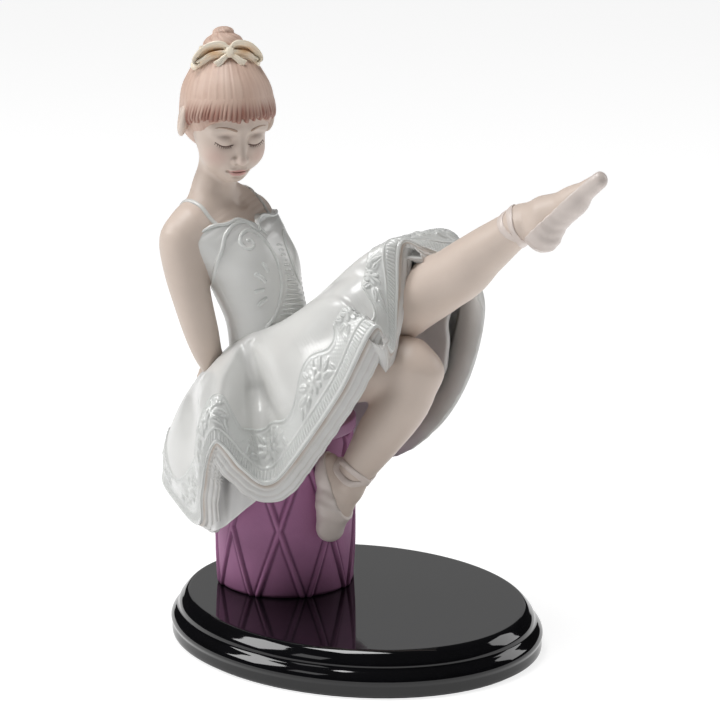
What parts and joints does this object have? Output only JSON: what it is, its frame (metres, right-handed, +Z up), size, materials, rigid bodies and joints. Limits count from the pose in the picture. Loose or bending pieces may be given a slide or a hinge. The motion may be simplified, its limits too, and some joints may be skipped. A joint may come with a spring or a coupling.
{
  "type": "porcelain figurine",
  "caption": "Porcelain statuette of a young dancer seated on a drum with one leg raised, in a flared lace-edged dress, fixed to a glossy oval plinth.",
  "frame": {"origin": "middle of the oval plinth's felt underside, on the table", "axes": "+Z up; +X along the plinth's long axis, the way the figure's legs point; +Y to the figure's left"},
  "size_m": [0.2029, 0.137, 0.2466],
  "materials": {
    "plinth_gloss": "gloss",
    "felt": "matte",
    "steel": "satin",
    "brass_insert": "satin",
    "drum_matte": "matte",
    "drum_top": "matte",
    "drum_hoop": "satin",
    "drum_cord": "matte",
    "skin": "satin",
    "face_skin": "satin",
    "slipper": "satin",
    "ribbon": "satin",
    "hair": "matte",
    "hair_dark": "matte",
    "bow_cream": "satin",
    "dress": "gloss",
    "lace_pearl": "gloss",
    "frill": "satin",
    "lining": "satin"
  },
  "bodies": {
    "root": {"base_plinth": "plinth_gloss", "base_felt": "felt", "fixing_screw": "steel", "fixing_washer": "steel", "threaded_insert": "brass_insert", "drum_shell": "drum_matte", "drum_head": "drum_top", "drum_hoop": "drum_hoop", "drum_cords": "drum_cord", "torso": "skin", "arm_right": "skin", "arm_left": "skin", "hand_right": "skin", "hand_left": "skin", "leg_left": "skin", "leg_right": "skin", "slipper_left": "slipper", "slipper_right": "slipper", "ankle_ribbon_left": "ribbon", "ankle_ribbon_right": "ribbon", "head": "face_skin", "hair_cap": "hair", "hair_fringe": "hair_dark", "hair_bun": "hair", "bow": "bow_cream", "bodice": "dress", "bodice_scroll": "lace_pearl", "strap_right": "dress", "strap_left": "dress", "skirt": "dress", "skirt_lace": "lace_pearl", "skirt_frill": "frill", "petticoat": "lining"}
  },
  "joints": []
}
